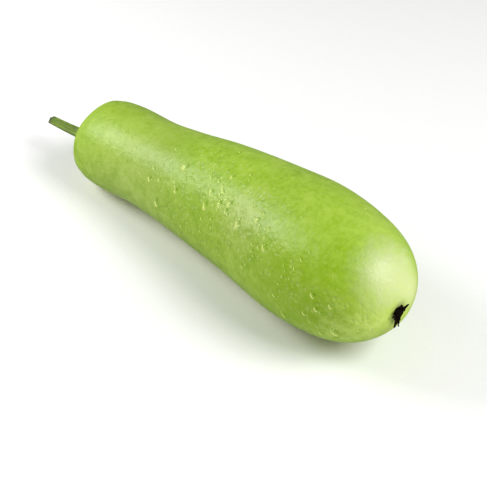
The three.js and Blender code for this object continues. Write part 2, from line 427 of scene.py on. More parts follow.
def rind_material():
    """Young bottle-gourd rind, a thin waxy cuticle grown over pale green flesh. The eye sees a
    yellow-green skin that is lighter and chalkier towards the blossom end, finely flecked with
    pale breathing pores, and half-glossy, with soft broad highlights. Painted shade deepens its
    lower flanks, head and belly, and a painted highlight lies on its blossom end."""
    material, tree = blank_material("Gourd rind, waxy half-gloss cuticle")
    place = add(tree, "TexCoord").outputs["Object"]
    apart = add(tree, "SeparateXYZ", [place])

    # Broad drifts of deeper and yellower green, some 60 mm apart.
    drifts = add(tree, "TexNoise", {"Vector": place, "Scale": grain(60), "Detail": 2.0})
    tone = laid_over(tree, "#8AB016", "#9CBF2A", drifts, 0.35, 0.65)

    # Faint streaks that run with the fruit's growth, 5 mm apart round it and 60 mm long.
    drawn_out = add(tree, "Mapping", {"Vector": place, "Scale": (0.08, 1.0, 1.0)})
    streaks = add(tree, "TexNoise", {"Vector": drawn_out, "Scale": grain(5), "Detail": 3.0})
    tone = laid_over(tree, tone, "#A9C83C", streaks, 0.4, 0.75, 0.22)

    # Mottling of the flesh showing through: soft patches of 4 mm, pale ones and deep ones, with a
    # grain of 1.5 mm over them.
    mottles = add(tree, "TexNoise", {"Vector": place, "Scale": grain(8), "Detail": 4.0, "Roughness": 0.62})
    tone = laid_over(tree, tone, "#A8C746", mottles, 0.48, 0.68, 0.65)
    tone = laid_over(tree, tone, "#7CA40A", mottles, 0.48, 0.3, 0.6)
    grains = add(tree, "TexNoise", {"Vector": place, "Scale": grain(3.2), "Detail": 2.0, "Roughness": 0.6})
    tone = laid_over(tree, tone, "#ABCA4C", grains, 0.4, 0.68, 0.5)

    # Pale pores, 0.8 mm spots about 2 mm apart, and one or two dark specks, as wide, to the square
    # centimetre.
    pores = scattered(
        tree, place, 2.2, edge=0.28, middle=0.08, strongest=0.45, draw="Red", missing=0.35, full=0.8
    )
    tone = add(tree, "Mix", [pores, tone, "#C0D872"], data_type="RGBA")
    specks = scattered(
        tree, place, 5, edge=0.1, middle=0.05, strongest=0.6, draw="Green", missing=0.6, full=0.9
    )
    tone = add(tree, "Mix", [specks, tone, "#66802A"], data_type="RGBA")

    # The lower flanks are painted a deeper green, with a ragged edge to it: painted shade, darker towards the
    # bottom. The
    #     blossom end pales over its last 30 mm.
    painted_low_shade = add(tree, "Math MULTIPLY_ADD", [mottles, 0.06, apart.outputs["Z"]])
    tone = laid_over(tree, tone, "#80AA02", painted_low_shade, 0.075, 0.042, 0.5, soft=True)
    tone = laid_over(tree, tone, "#BED654", apart.outputs["X"], 0.146, 0.176, 0.65, soft=True)

    # The broad patches, painted shade and painted highlights among them, each more or less broken up by the
    # mottling.
    for *middle, reach, strength, patchy, tint in PAINTED_LIGHT_AND_TONE_PATCHES:
        away = add(tree, "VectorMath DISTANCE", [place, in_metres(middle)])
        share = add(
            tree, "MapRange", {0: away, 1: reach * MM, 2: 0.0, 4: strength}, interpolation_type="SMOOTHSTEP"
        )
        uneven = add(tree, "MapRange", [mottles, 0.36, 0.64, 1 + patchy, 1 - patchy])
        patched = add(tree, "Math MULTIPLY", [share, uneven])
        tone = add(tree, "Mix", [patched, tone, tint], data_type="RGBA")

    # A pale patch lies on the top of the blossom end, with a ragged edge: a chalky bloom, and a painted
    # highlight where the main light falls on the dome.
    from_chalk_and_highlight = add(tree, "VectorMath DISTANCE", [place, in_metres(CHALK_AND_HIGHLIGHT_MIDDLE)])
    ragged = add(tree, "Math MULTIPLY_ADD", [mottles, 0.024, from_chalk_and_highlight])
    tone = laid_over(tree, tone, "#CCD5A0", ragged, 0.046, 0.018, 0.7, soft=True)

    # The ground spot: where it lay, the underside stayed a creamy yellow.
    low = add(tree, "Math MULTIPLY_ADD", [mottles, 0.012, apart.outputs["Z"]])
    tone = laid_over(tree, tone, "#DDDF9C", low, 0.024, 0.008, 0.75, soft=True)

    # The wax is thicker in some patches than in others, so the gloss comes and goes.
    bloom = add(tree, "TexNoise", {"Vector": place, "Scale": grain(14), "Detail": 4.0})
    rough = add(tree, "MapRange", [bloom, 0.3, 0.7, 0.36, 0.48])

    # Fine dew where the rinsing left the skin wet: flat beads 3 mm across, about 3.4 mm apart. A bead
    # this flat is brightest on its side away from the light, as a dent is, so it is drawn as one.
    wet = add(tree, "Attribute", attribute_name="wetness").outputs["Fac"]
    dew_there = add(tree, "MapRange", [wet, 0.0, 0.8, 0.1, 1.0])
    dew = scattered(
        tree, place, 3.4, edge=0.62, middle=0.0, strongest=1.0, draw="Red", missing=0.2, full=0.7, soft=True
    )
    dew_height = add(tree, "Math MULTIPLY", [dew, dew_there])
    # Each bead is painted paler too: a painted highlight for the light it gathers.
    dew_painted_highlight = add(tree, "Math MULTIPLY", [dew_height, 0.35])
    tone = add(tree, "Mix", [dew_painted_highlight, tone, "#C6DC7C"], data_type="RGBA")

    # Shallow dents 10 mm apart under an orange-peel grain of 2 mm, which breaks the highlights up
    # into frosty flecks.
    dents = add(tree, "TexNoise", {"Vector": place, "Scale": grain(10), "Detail": 2.0})
    peel = add(tree, "TexNoise", {"Vector": place, "Scale": grain(3.4), "Detail": 2.0, "Roughness": 0.7})
    dented = add(tree, "Bump", {"Strength": 0.5, "Distance": 0.0006, "Height": dents})
    peeled = add(tree, "Bump", {"Strength": 1.0, "Distance": 0.0005, "Height": peel, "Normal": dented})
    skinned = add(
        tree, "Bump", {"Strength": 0.9, "Distance": 0.0005, "Height": dew_height, "Normal": peeled},
        invert=True,
    )

    surface = add(
        tree, "BsdfPrincipled",
        {
            "Base Color": tone, "Roughness": rough, "IOR": 1.4, "Normal": skinned,
            "Subsurface Weight": 0.12, "Subsurface Radius": (0.8, 1.0, 0.3), "Subsurface Scale": 0.003,
            "Coat Weight": 0.08, "Coat Roughness": 0.3,
        },
    )
    add(tree, "OutputMaterial", {"Surface": surface})
    return material


def stalk_material():
    """Cut gourd stalk, green fibrous flesh with corky ridges. It pales to the fruit's own green at
    its foot, and its cut face has dried to a light tan with a darker rim."""
    material, tree = blank_material("Gourd stalk, ribbed and fibrous")
    place = add(tree, "TexCoord").outputs["Object"]
    out = add(tree, "Attribute", attribute_name="out_from_fruit").outputs["Fac"]
    ridge = add(tree, "Attribute", attribute_name="ridge").outputs["Fac"]
    inward = add(tree, "Attribute", attribute_name="inward_on_cut").outputs["Fac"]

    # Fibres 0.7 mm apart run along it, and its ridges are darker.
    fibres_way = add(tree, "Mapping", {"Vector": place, "Scale": (0.1, 1.0, 1.0)})
    fibres = add(tree, "TexNoise", {"Vector": fibres_way, "Scale": grain(0.7), "Detail": 3.0})
    tone = laid_over(tree, "#547012", "#84A02C", fibres, 0.35, 0.7)
    tone = laid_over(tree, tone, "#40561A", ridge, 0.1, 0.9, 0.42)

    # Tan blotches 3 mm apart, then the paler foot over its first 22 mm.
    blotches = add(tree, "TexNoise", {"Vector": place, "Scale": grain(3), "Detail": 4.0})
    tone = laid_over(tree, tone, "#84883F", blotches, 0.55, 0.75, 0.5)
    tone = laid_over(tree, tone, "#A9C65A", out, 22.0, 0.0, 0.95, soft=True)

    # The last few millimetres darken to the rim of the cut, round its tan pith.
    tone = laid_over(tree, tone, "#434A26", out, STALK_LENGTH - 5.0, STALK_LENGTH - 1.2, 0.85)
    pith = laid_over(tree, "#6C6E3A", "#BDB980", inward, 0.45, 0.85)
    tone = laid_over(tree, tone, pith, inward, 0.3, 0.45)

    rough = add(tree, "MapRange", [fibres, 0.3, 0.7, 0.5, 0.75])
    grooved = add(tree, "Bump", {"Strength": 0.7, "Distance": 0.00025, "Height": fibres})
    knobbly = add(tree, "Bump", {"Strength": 0.5, "Distance": 0.0004, "Height": blotches, "Normal": grooved})
    surface = add(
        tree, "BsdfPrincipled",
        {
            "Base Color": tone, "Roughness": rough, "IOR": 1.45, "Normal": knobbly,
            "Sheen Weight": 0.05, "Sheen Roughness": 0.5,
        },
    )
    add(tree, "OutputMaterial", {"Surface": surface})
    return material


def petal_material():
    """Withered petals and calyx, dried on the plant to a brown-black paper. Dull, veined, with a
    rusty brown showing where they are thinnest."""
    material, tree = blank_material("Withered petals, dried papery")
    place = add(tree, "TexCoord").outputs["Object"]
    patches = add(tree, "TexNoise", {"Vector": place, "Scale": grain(2.2), "Detail": 4.0})
    tone = laid_over(tree, "#0C0905", "#30190C", patches, 0.5, 0.72)
    veins = add(tree, "TexNoise", {"Vector": place, "Scale": grain(0.6), "Detail": 2.0})
    tone = laid_over(tree, tone, "#0C0805", veins, 0.5, 0.7, 0.5)
    wrinkled = add(tree, "Bump", {"Strength": 0.8, "Distance": 0.0004, "Height": veins})
    surface = add(
        tree, "BsdfPrincipled", {"Base Color": tone, "Roughness": 0.85, "IOR": 1.12, "Normal": wrinkled}
    )
    add(tree, "OutputMaterial", {"Surface": surface})
    return material


def water_material():
    """Clean water, left in beads on the waxy skin. Clear, with a bright glint, a painted bright crescent and
    a painted dark rim.
    """
    material, tree = blank_material("Water, clear beads")
    # A bead is a small lens: the side away from the main light gathers it into a bright crescent,
    #     # which is spent again at the bead's foot, and the near side is left darker. Both are painted:
    #     # the pale diffuse crescent is a painted highlight, and the darker tint on the near side is painted
    #     shade.
    towards = add(tree, "Attribute", attribute_name="towards_light").outputs["Fac"]
    gathering = add(tree, "MapRange", [towards, 0.15, -0.3, 0.0, 0.8])
    spent = add(tree, "MapRange", [towards, -0.6, -0.95, 1.0, 0.4])
    painted_crescent_share = add(tree, "Math MULTIPLY", [gathering, spent])
    tint = laid_over(tree, "#FFFFFF", "#ADC47C", towards, 0.55, 0.95)
    clear = add(
        tree, "BsdfPrincipled",
        {
            "Base Color": tint, "Roughness": 0.05, "IOR": 1.333, "Specular Tint": "#C6DE74",
            "Transmission Weight": 1.0,
        },
    )
    painted_crescent = add(tree, "BsdfDiffuse", {"Color": "#E4F28C"})
    bead = add(tree, "MixShader", [painted_crescent_share, clear, painted_crescent])

    # The lights pass straight through, so that the skin under a bead stays lit.
    passing = add(tree, "BsdfTransparent", {"Color": "#FFFFFF"})
    ray = add(tree, "LightPath").outputs
    scattering = add(tree, "Math MAXIMUM", [ray["Is Diffuse Ray"], ray["Is Glossy Ray"]])
    let_through = add(tree, "Math MAXIMUM", [ray["Is Shadow Ray"], scattering])
    surface = add(tree, "MixShader", [let_through, bead, passing])
    add(tree, "OutputMaterial", {"Surface": surface})
    return material


# ---- rings rolled up into a body ----

def ring_sheet(tree, size):
    """A flat sheet with a row of points for each ring. Also gives how far along each point is, from
    0 to 1, and how far round."""
    rows = add(tree, "Math ADD", [size["Rings"], 1.0])
    columns = add(tree, "Math ADD", [size["Sides"], 1.0])
    sheet = add(tree, "MeshGrid", [1.0, 1.0, rows, columns])
    spot = add(tree, "SeparateXYZ", [add(tree, "InputPosition")])
    share = add(tree, "Math ADD", [spot.outputs["X"], 0.5])
    turn = add(tree, "Math MULTIPLY_ADD", [spot.outputs["Y"], 2 * math.pi, math.pi])
    return sheet, share, turn


def off_line(tree, reach, turn):
    """How far across and how far up a point lies from its body's own line."""
    cosine = add(tree, "Math COSINE", [turn])
    across = add(tree, "Math MULTIPLY", [reach, cosine])
    sine = add(tree, "Math SINE", [turn])
    upward = add(tree, "Math MULTIPLY", [reach, sine])
    return across, upward


def fading(tree, distance, fade, power=1.0):
    """1 at no distance, and falling off past the fade: more sharply, the higher the power."""
    over = add(tree, "Math DIVIDE", [distance, fade])
    raised = add(tree, "Math POWER", [over, power])
    falling = add(tree, "Math MULTIPLY", [raised, -1.0])
    return add(tree, "Math EXPONENT", [falling])


def rolled_up(tree, sheet, x, y, z):
    """The sheet with each point moved to a place in the fruit's millimetres. Its seam and its ends
    are welded, and it faces outward."""
    placed = add(tree, "CombineXYZ", [x, y, z])
    centred = add(tree, "VectorMath SUBTRACT", [placed, tuple(FOOTPRINT_MIDDLE)])
    metric = add(tree, "VectorMath SCALE", {0: centred, "Scale": MM})
    shaped = add(tree, "SetPosition", {"Geometry": sheet, "Position": metric})
    closed = add(tree, "MergeByDistance", {"Geometry": shaped, "Distance": WELD})
    return add(tree, "FlipFaces", {"Mesh": closed})


# ---- the fruit ----

def fruit_piece(material):
    """The fruit: rings over its length, each one set by its girth, its lobes and its place on the
    bowed centre line, then pressed flat where it rests and given the shallow dents of real skin."""
    sizes = {
        "Rings": 230,
        "Sides": 190,
        "Length": FRUIT_LENGTH,
        "Bow": BOW,
        "Centre height at the stem": centre_at(0).z,
        "Climb": CLIMB,
        "Lobes": float(SHOULDER_LOBES),
        "Lobe height": LOBE_HEIGHT,
        "Lobe fade": LOBE_FADE,
        "Oval": OVAL,
        "Oval turn": OVAL_TURN,
        "Collar height": COLLAR_HEIGHT,
        "Collar radius": COLLAR_RADIUS,
        "Navel depth": NAVEL_DEPTH,
        "Navel radius": NAVEL_RADIUS,
        "Dent depth": 0.34,
        "Dent size": 24.0,
        "Skin": material,
    }
    tree, size = sized_tree("Gourd body", sizes)
    sheet, share, turn = ring_sheet(tree, size)

    # Rings are packed closer over the two domes.
    once_round = add(tree, "Math MULTIPLY", [share, 2 * math.pi])
    packing = add(tree, "Math SINE", [once_round])
    crowd = add(tree, "Math MULTIPLY", [packing, -RING_CROWDING])
    angle = add(tree, "Math MULTIPLY_ADD", [share, math.pi, crowd])
    half = add(tree, "Math MULTIPLY", [size["Length"], 0.5])
    behind = add(tree, "Math COSINE", [angle])
    passed = add(tree, "Math SUBTRACT", [1.0, behind])
    along = add(tree, "Math MULTIPLY", [half, passed])

    # The girth is read off the smooth curve through the stations.
    angle_share = add(tree, "Math DIVIDE", [angle, math.pi])
    profile = add(tree, "FloatCurve", {"Value": angle_share})
    line = profile.mapping.curves[0]
    line.points[0].location = (0.0, share_over(0.0) / PROFILE_TOP)
    line.points[1].location = (1.0, share_over(math.pi) / PROFILE_TOP)
    for i in range(1, PROFILE_STOPS):
        line.points.new(i / PROFILE_STOPS, share_over(math.pi * i / PROFILE_STOPS) / PROFILE_TOP)
    profile.mapping.update()
    girth = add(tree, "Math MULTIPLY", [profile, PROFILE_TOP])
    dome = add(tree, "Math SINE", [angle])
    radius = add(tree, "Math MULTIPLY", [girth, dome])

    # Five faint lobes round the shoulder fade out along it, and the whole fruit is a little oval.
    lobe_turn = add(tree, "Math MULTIPLY", [turn, size["Lobes"]])
    lobe_wave = add(tree, "Math COSINE", [lobe_turn])
    full_lobes = add(tree, "Math MULTIPLY", [lobe_wave, size["Lobe height"]])
    lobes = add(tree, "Math MULTIPLY", [full_lobes, fading(tree, along, size["Lobe fade"])])
    oval_turn = add(tree, "Math SUBTRACT", [turn, size["Oval turn"]])
    twice_round = add(tree, "Math MULTIPLY", [oval_turn, 2.0])
    oval_wave = add(tree, "Math COSINE", [twice_round])
    oval = add(tree, "Math MULTIPLY", [oval_wave, size["Oval"]])
    unround = add(tree, "Math ADD", [lobes, oval])
    swelled = add(tree, "Math ADD", [unround, 1.0])
    reach = add(tree, "Math MULTIPLY", [radius, swelled])
    across, upward = off_line(tree, reach, turn)

    # The centre line bows to one side, and climbs.
    along_share = add(tree, "Math DIVIDE", [along, size["Length"]])
    bow_turn = add(tree, "Math MULTIPLY", [along_share, math.pi])
    bow_wave = add(tree, "Math SINE", [bow_turn])
    bow_share = add(tree, "Math MULTIPLY", [bow_wave, bow_wave])
    sideways = add(tree, "Math MULTIPLY", [bow_share, size["Bow"]])
    climbed = add(tree, "Math MULTIPLY", [along, size["Climb"]])
    height = add(tree, "Math ADD", [climbed, size["Centre height at the stem"]])

    # The collar stands up round the stalk, and the navel sinks round the flower.
    from_line = add(tree, "CombineXYZ", [0.0, across, upward])
    reliefs = []
    for seat, label, much, sharp in (
        (STALK_SEAT, "Collar radius", "Collar height", 4.0),
        (FLOWER_SEAT, "Navel radius", "Navel depth", 2.0),
    ):
        away = add(tree, "VectorMath DISTANCE", [from_line, (0.0, *seat)])
        near = fading(tree, away, size[label], sharp)
        reliefs.append(add(tree, "Math MULTIPLY", [near, size[much]]))
    far_half = add(tree, "Math GREATER_THAN", [along, half])
    relief = add(tree, "Mix", [far_half, *reliefs])

    # Nothing reaches below the ground, so the spots it rests on are flat.
    x = add(tree, "Math SUBTRACT", [along, relief])
    y = add(tree, "Math ADD", [sideways, across])
    z = add(tree, "Math ADD", [height, upward])
    pressed = add(tree, "Math MAXIMUM", [z, 0.0])
    outward = rolled_up(tree, sheet, x, y, pressed)

    # Shallow dents and swellings, drawn out along the fruit, that make the highlights wander.
    place = add(tree, "InputPosition")
    stretched = add(tree, "VectorMath MULTIPLY", [place, (0.55, 1.0, 1.0)])
    dent_scale = add(tree, "Math DIVIDE", [1 / MM, size["Dent size"]])
    dents = add(tree, "TexNoise", {"Vector": stretched, "Scale": dent_scale, "Detail": 2.0, "Roughness": 0.4})
    dent_depth = add(tree, "Math MULTIPLY", [size["Dent depth"], 2 * MM])
    either_way = add(tree, "Math SUBTRACT", [dents, 0.5])
    push = add(tree, "Math MULTIPLY", [either_way, dent_depth])
    normal = add(tree, "InputNormal")
    pushed = add(tree, "VectorMath SCALE", {0: normal, "Scale": push})
    moved = add(tree, "VectorMath ADD", [place, pushed])
    moved_apart = add(tree, "SeparateXYZ", [moved]).outputs
    still_pressed = add(tree, "Math MAXIMUM", [moved_apart["Z"], 0.0])
    kept_up = add(tree, "CombineXYZ", [moved_apart["X"], moved_apart["Y"], still_pressed])
    dented = add(tree, "SetPosition", {"Geometry": outward, "Position": kept_up})

    # Kept on the points: how wet the skin is, from 1 in the middle of a wet place to 0 outside.
    wetness = 0.0
    for *middle, radius in WET_PLACES:
        away = add(tree, "VectorMath DISTANCE", [place, in_metres(middle)])
        edge = radius * MM
        here = add(tree, "MapRange", [away, edge, FULLY_WET * edge], interpolation_type="SMOOTHSTEP")
        wetness = add(tree, "Math MAXIMUM", [wetness, here])
    wetted = add(tree, "StoreNamedAttribute", {"Geometry": dented, "Name": "wetness", "Value": wetness})
    clothed(tree, wetted, size["Skin"])
    return grown("gourd_rind", tree, sizes)


# ---- the stalk ----

def stalk_piece(material):
    """The stalk: a ribbed column that follows its own slightly swept line out of the collar, and
    ends in a slanting knife cut whose middle has shrunk a little as it dried."""
    sizes = {
        "Rings": 110,
        "Sides": 90,
        "Length": STALK_LENGTH,
        "Root": STALK_ROOT,
        "Root radius": STALK_ROOT_RADIUS,
        "Cut radius": STALK_CUT_RADIUS,
        "Flare": STALK_FLARE,
        "Flare fade": STALK_FLARE_FADE,
        "Ribs": float(STALK_RIBS),
        "Rib height": RIB_HEIGHT,
        "Rib twist": RIB_TWIST,
        "Cut slant": CUT_SLANT,
        "Cut reach": CUT_REACH,
        "Cut hollow": 0.9,
        "Rim": 0.85,
        "Stalk": material,
    }
    tree, size = sized_tree("Ribbed stalk", sizes)
    sheet, share, turn = ring_sheet(tree, size)

    # The first rings close the root, and the last are the face of the cut, round its dried rim.
    root_share = add(tree, "MapRange", [share, 0.0, ROOT_ENDS])
    body_share = add(tree, "MapRange", [share, ROOT_ENDS, CUT_STARTS])
    cut_share = add(tree, "MapRange", [share, CUT_STARTS, 1.0])
    rim_share = add(tree, "MapRange", [cut_share, RIM_ENDS, 0.0])
    rim_squared = add(tree, "Math MULTIPLY", [rim_share, rim_share])
    rim_left = add(tree, "Math SUBTRACT", [1.0, rim_squared])
    rim_curve = add(tree, "Math SQRT", [rim_left])
    rim_rise = add(tree, "Math MULTIPLY", [rim_curve, size["Rim"]])

    # How far out from the fruit each ring is. They lie closer near the root.
    start = add(tree, "Math MULTIPLY", [size["Root"], -1.0])
    to_rim = add(tree, "Math SUBTRACT", [size["Length"], size["Rim"]])
    span = add(tree, "Math SUBTRACT", [to_rim, start])
    eased = add(tree, "Math POWER", [body_share, 1.5])
    out = add(tree, "Math MULTIPLY_ADD", [eased, span, start])
    out_share = add(tree, "Math DIVIDE", [out, size["Length"]])
    outside = add(tree, "Math MAXIMUM", [out, 0.0])

    # It tapers, flares at its foot, and closes at both ends.
    taper = add(tree, "MapRange", {0: out_share, 3: size["Root radius"], 4: size["Cut radius"]}, clamp=False)
    foot_share = fading(tree, outside, size["Flare fade"])
    flare = add(tree, "Math MULTIPLY", [foot_share, size["Flare"]])
    full = add(tree, "Math ADD", [taper, flare])
    cut_left = add(tree, "Math SUBTRACT", [1.0, cut_share])
    closing = add(tree, "Math MULTIPLY", [root_share, cut_left])
    radius = add(tree, "Math MULTIPLY", [full, closing])

    # The ribs twist a little as they run out.
    twist = add(tree, "Math MULTIPLY", [size["Rib twist"], out_share])
    twisted = add(tree, "Math MULTIPLY_ADD", [turn, size["Ribs"], twist])
    rib = add(tree, "Math COSINE", [twisted])
    ribbed = add(tree, "Math MULTIPLY_ADD", [rib, size["Rib height"], 1.0])
    reach = add(tree, "Math MULTIPLY", [radius, ribbed])
    across, upward = off_line(tree, reach, turn)

    # The line it follows: it leaves the collar at a lean, drifts aside, and sweeps up.
    foot = centre_at(0)
    lean_left = fading(tree, outside, STALK_LEAN_FADE)
    leant = add(tree, "Math SUBTRACT", [1.0, lean_left])
    leant_y = add(tree, "Math MULTIPLY_ADD", [leant, STALK_LEAN[0], foot.y + STALK_SEAT[0]])
    line_y = add(tree, "Math MULTIPLY_ADD", [out, -STALK_DRIFT, leant_y])
    leant_z = add(tree, "Math MULTIPLY_ADD", [leant, STALK_LEAN[1], foot.z + STALK_SEAT[1]])
    sinking = add(tree, "Math MULTIPLY_ADD", [out, -CLIMB, leant_z])
    sweep = add(tree, "Math MULTIPLY", [out_share, out_share])
    swept = add(tree, "Math MULTIPLY", [sweep, STALK_SWEEP])
    line_z = add(tree, "Math ADD", [swept, sinking])

    # The cut slants, and sinks to its middle from the top of its rounded rim.
    slant_start = add(tree, "Math SUBTRACT", [size["Length"], size["Cut reach"]])
    slanting = add(tree, "MapRange", [out, slant_start, size["Length"]], interpolation_type="SMOOTHSTEP")
    slant = add(tree, "Math MULTIPLY", [slanting, size["Cut slant"]])
    sinks = add(tree, "Math MULTIPLY", [cut_share, cut_share])
    hollow = add(tree, "Math MULTIPLY", [sinks, size["Cut hollow"]])
    sunk = add(tree, "Math SUBTRACT", [hollow, rim_rise])
    outward = add(tree, "Math MULTIPLY", [out, -1.0])
    slanted = add(tree, "Math MULTIPLY_ADD", [slant, upward, outward])

    # Kept on the points for the material: distance out, ridge or furrow, and way in on the cut.
    marked = sheet
    for label, value in (("out_from_fruit", out), ("ridge", rib), ("inward_on_cut", cut_share)):
        marked = add(tree, "StoreNamedAttribute", {"Geometry": marked, "Name": label, "Value": value})
    x = add(tree, "Math ADD", [slanted, sunk])
    y = add(tree, "Math SUBTRACT", [line_y, across])
    z = add(tree, "Math ADD", [line_z, upward])
    clothed(tree, rolled_up(tree, marked, x, y, z), size["Stalk"])
    return grown("cut_stalk", tree, sizes)


# ---- the withered flower ----

def petal_points(shape, seed, rows=26, columns=12):
    """One dried petal as rows of points, crumpled and rolled as it shrank."""
    tip_y, tip_z, width, stand_off, twist = shape
    length = math.hypot(tip_y, tip_z)
    drift = Vector((seed * 7.3, seed * 1.9, seed * 4.1))
    points = []
    for i in range(rows + 1):
        share = i / rows
        row = []
        for j in range(columns + 1):
            place = j / columns - 0.5
            ragged = 1 + PETAL_RAGGED * noise.noise(Vector((share * 6, place * 3, 0)) + drift)
            across = place * width * (1 - PETAL_TAPER * share**3) * ragged
            furl = PETAL_FURL * math.sin(3 * share) * math.cos(2.4 * across + 4 * twist)
            crumple = noise.noise(Vector((share * 9, across * 1.5, 3.0)) + drift)
            lift_off = furl + PETAL_CRUMPLE * crumple * min(1, 3 * share)
            lean = twist * share
            side = across * math.cos(lean) - lift_off * math.sin(lean)
            lift = across * math.sin(lean) + lift_off * math.cos(lean)
            reach = share * (1 + TIP_RAGGED * noise.noise(Vector((place * 5, 1.7, 2.2)) + drift))
            y = tip_y * reach - side * tip_z / length
            z = tip_z * reach + side * tip_y / length
            clear = PETAL_CLEARANCE + 0.5 * width * abs(math.sin(lean))
            rise = PETALS_LEAVE + (clear - PETALS_LEAVE) * min(1, 2 * share)
            spot = on_blossom_end(y, z)
            spot.x += rise + stand_off * share**2 + lift
            row.append(in_frame(spot))
        points.append(row)
    return points


def faced(shape, rows, closed):
    """Puts faces between rows of points. Closed rows run back to where they start."""
    for lower, upper in zip(rows, rows[1:]):
        for j in range(len(lower) if closed else len(lower) - 1):
            k = (j + 1) % len(lower)
            shape.faces.new((lower[j], lower[k], upper[k], upper[j]))


def petals_mesh():
    """All the petals, thickened from sheets."""
    shell = bmesh.new()
    for seed, shape in enumerate(PETALS):
        rows = [[shell.verts.new(spot) for spot in row] for row in petal_points(shape, seed + 1)]
        faced(shell, rows, closed=False)
    mesh = bpy.data.meshes.new("petals.sheet")
    shell.to_mesh(mesh)
    shell.free()
    petals = in_scene("petals.sheet", mesh)
    thick = petals.modifiers.new("thickness", "SOLIDIFY")
    thick.thickness = PETAL_THICKNESS * MM
    thick.offset = 0
    return shown_as_mesh(petals)


def flower_piece(material):
    """The withered flower: a dried calyx nub, ribbed like a button, and eight shrunken petals
    that run out over the skin from it."""
    whole = bmesh.new()
    whole.from_mesh(petals_mesh())
    seat = on_blossom_end(0, 0)
    rings = []
    for along, radius in NUB_OUTLINE:
        ring = []
        for j in range(NUB_SIDES):
            turn = 2 * math.pi * j / NUB_SIDES
            wrinkle = noise.noise(Vector((math.cos(turn) * 2, math.sin(turn) * 2, along * 0.8)))
            pleat = 1 + NUB_PLEAT * math.cos(NUB_PLEATS * turn) + NUB_WRINKLE * wrinkle
            y = NUB_SQUEEZE * radius * pleat * math.cos(turn) + NUB_SHIFT[0]
            z = NUB_STRETCH * radius * pleat * math.sin(turn) + NUB_SHIFT[1]
            ring.append(whole.verts.new(in_frame((seat.x + along, seat.y + y, seat.z + z))))
        rings.append(ring)
    faced(whole, rings, closed=True)
    for ring, along in ((rings[0], NUB_FOOT), (rings[-1], NUB_TOP)):
        middle = whole.verts.new(in_frame((seat.x + along, seat.y, seat.z)))
        for j in range(NUB_SIDES):
            whole.faces.new((ring[j], ring[(j + 1) % NUB_SIDES], middle))
    return finished_piece("withered_petals", whole, material)


# ---- the water ----

